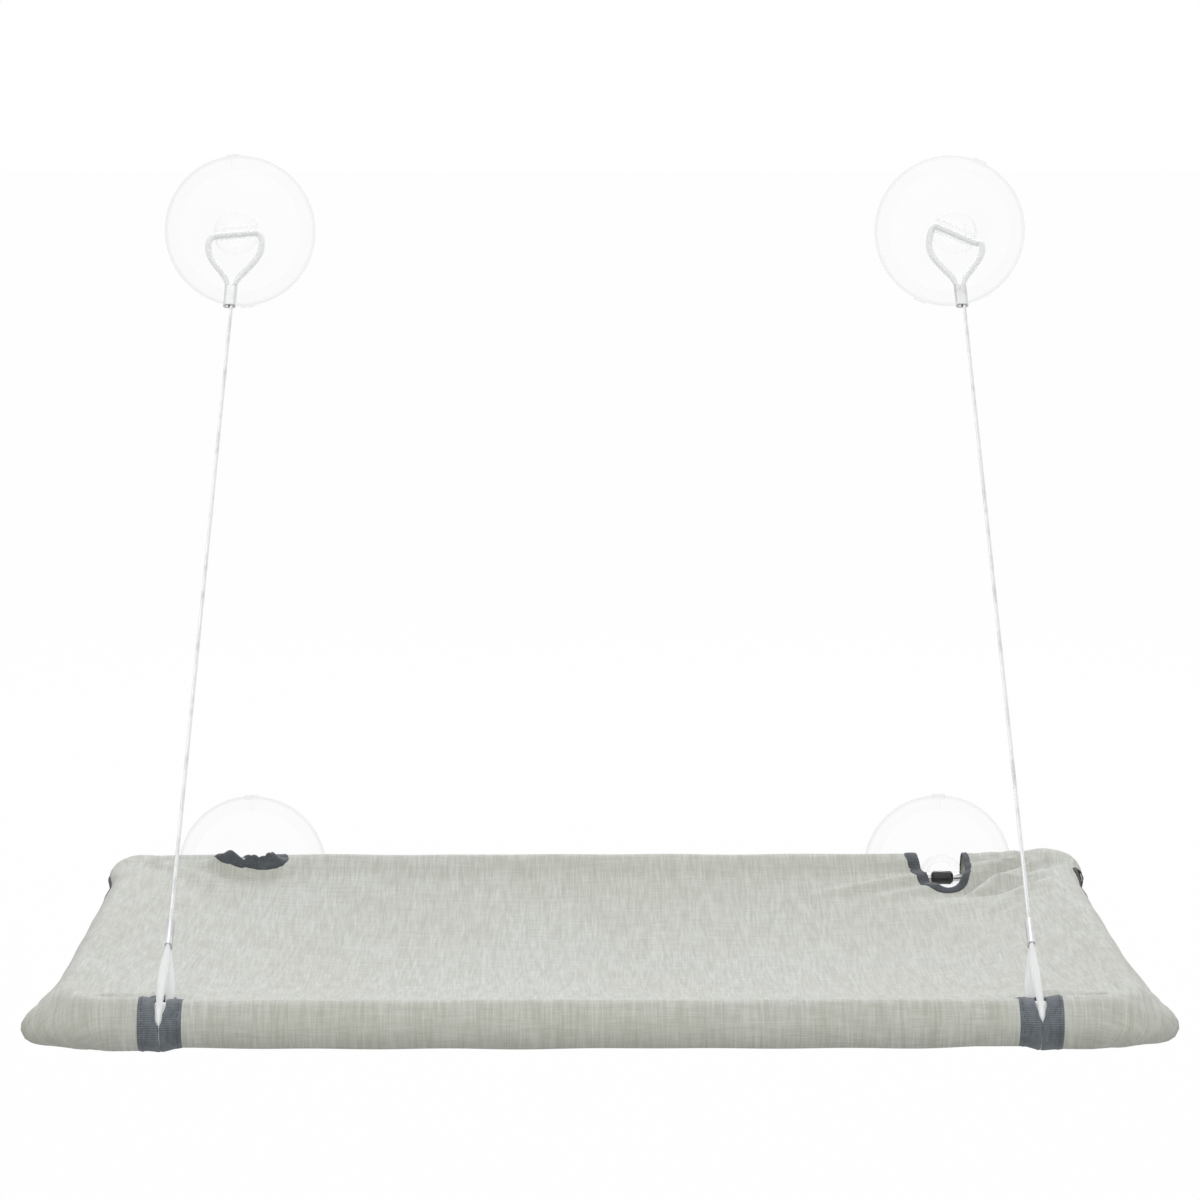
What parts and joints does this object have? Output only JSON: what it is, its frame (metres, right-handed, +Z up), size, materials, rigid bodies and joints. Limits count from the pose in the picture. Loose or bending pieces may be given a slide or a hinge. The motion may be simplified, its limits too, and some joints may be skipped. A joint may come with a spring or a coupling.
{
  "type": "window mounted cat perch",
  "caption": "Cat perch for a window: a cloth sling on a tube frame that folds up on a rod in the lower suction cups, held level by steel cables from the upper cups.",
  "frame": {"origin": "on the room side of the window pane, midway between the lower suction cups, level with the rear rod", "axes": "+Z up, +X to the right seen from the room, +Y towards the pane and out through it"},
  "size_m": [0.5, 0.3788, 0.4157],
  "materials": {
    "clear_cup": "clear flexible PVC, glossy",
    "clear_sleeve": "clear tubing, glossy",
    "steel_rope": "stranded steel rope",
    "ferrule_metal": "pressed, satin",
    "black_plastic": "moulded, satin",
    "white_plastic": "moulded, satin",
    "painted_tube": "powder coated",
    "rod_steel": "drawn, bright",
    "screw_steel": "plated",
    "cover_cloth": "slubbed linen look weave",
    "binding_cloth": "folded tape, woven",
    "fastening_tape": "hook and loop tape"
  },
  "bodies": {
    "cups": {"rod_bush_left": "black_plastic", "rod_bush_right": "black_plastic", "suction_cup_lower_left": "clear_cup", "suction_cup_lower_right": "clear_cup", "suction_cup_upper_left": "clear_cup", "suction_cup_upper_right": "clear_cup", "upper_ferrule_left": "ferrule_metal", "upper_ferrule_right": "ferrule_metal", "upper_loop_sleeve_left": "clear_sleeve", "upper_loop_sleeve_right": "clear_sleeve", "cable_left": "steel_rope", "cable_right": "steel_rope"},
    "platform": {"closure_flap": "cover_cloth", "closure_hook_strip": "fastening_tape", "closure_loop_strip": "fastening_tape", "corner_opening_binding_left": "binding_cloth", "corner_opening_binding_right": "binding_cloth", "cover_bottom": "cover_cloth", "cover_top": "cover_cloth", "frame_screws_left": "screw_steel", "frame_screws_right": "screw_steel", "front_corner_left": "white_plastic", "front_corner_right": "white_plastic", "front_slot_binding_left": "binding_cloth", "front_slot_binding_right": "binding_cloth", "front_tube": "painted_tube", "lower_ferrule_left": "ferrule_metal", "lower_ferrule_right": "ferrule_metal", "lower_loop_sleeve_left": "clear_sleeve", "lower_loop_sleeve_right": "clear_sleeve", "rear_corner_left": "black_plastic", "rear_corner_right": "black_plastic", "rear_notch_binding_left": "binding_cloth", "rear_notch_binding_right": "binding_cloth", "rear_rod": "rod_steel", "rear_spacer_centre": "white_plastic", "rear_spacer_left": "white_plastic", "rear_spacer_right": "white_plastic", "side_tube_left": "painted_tube", "side_tube_right": "painted_tube"}
  },
  "joints": [
    {"name": "platform_fold", "type": "hinge", "parent": "cups", "child": "platform", "pos_m": [0, -0.0275, 0], "axis": [-1, 0, 0], "range_deg": [0, 80], "deforming": ["cable_left", "cable_right"]}
  ]
}
